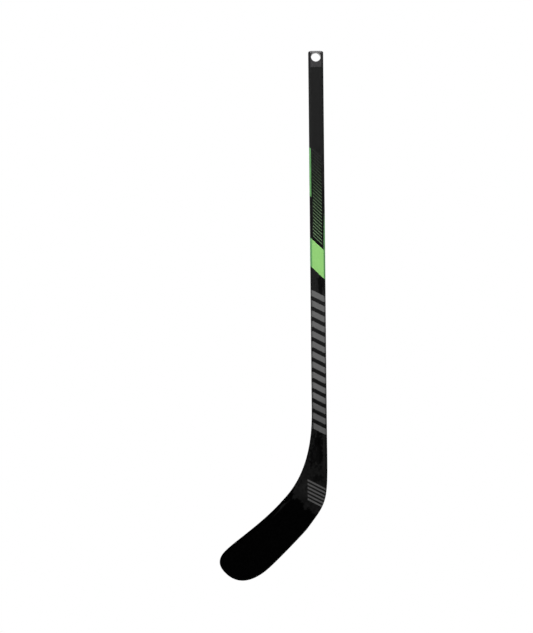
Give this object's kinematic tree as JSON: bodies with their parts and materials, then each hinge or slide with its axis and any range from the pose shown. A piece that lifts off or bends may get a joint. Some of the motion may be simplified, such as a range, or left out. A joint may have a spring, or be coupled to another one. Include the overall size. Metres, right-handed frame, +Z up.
{
  "type": "mini hockey stick",
  "caption": "Toy-sized ice hockey stick: a hollow rectangular shaft with a hang-hole plug in its butt and a curved, foam-cored composite blade.",
  "frame": {"origin": "middle of the hang hole through the butt plug, halfway through the shaft's depth", "axes": "+Z runs up the shaft to the butt end, -X is the side that the blade points to, -Y faces the blade's hollow forehand side"},
  "size_m": [0.1087, 0.0151, 0.5289],
  "materials": {
    "plug": "moulded satin black plastic",
    "shaft": "fibre composite, sprayed black, printed green and grey, under a satin clear coat",
    "tenon": "beech, planed",
    "foam": "rigid closed-cell foam, as cut",
    "blade": "fibre composite, moulded, satin black"
  },
  "bodies": {
    "root": {"butt_plug": "plug", "shaft_tube": "shaft", "neck_tenon": "tenon", "blade_core": "foam", "blade_forehand_skin": "blade", "blade_backhand_skin": "blade"}
  },
  "joints": []
}
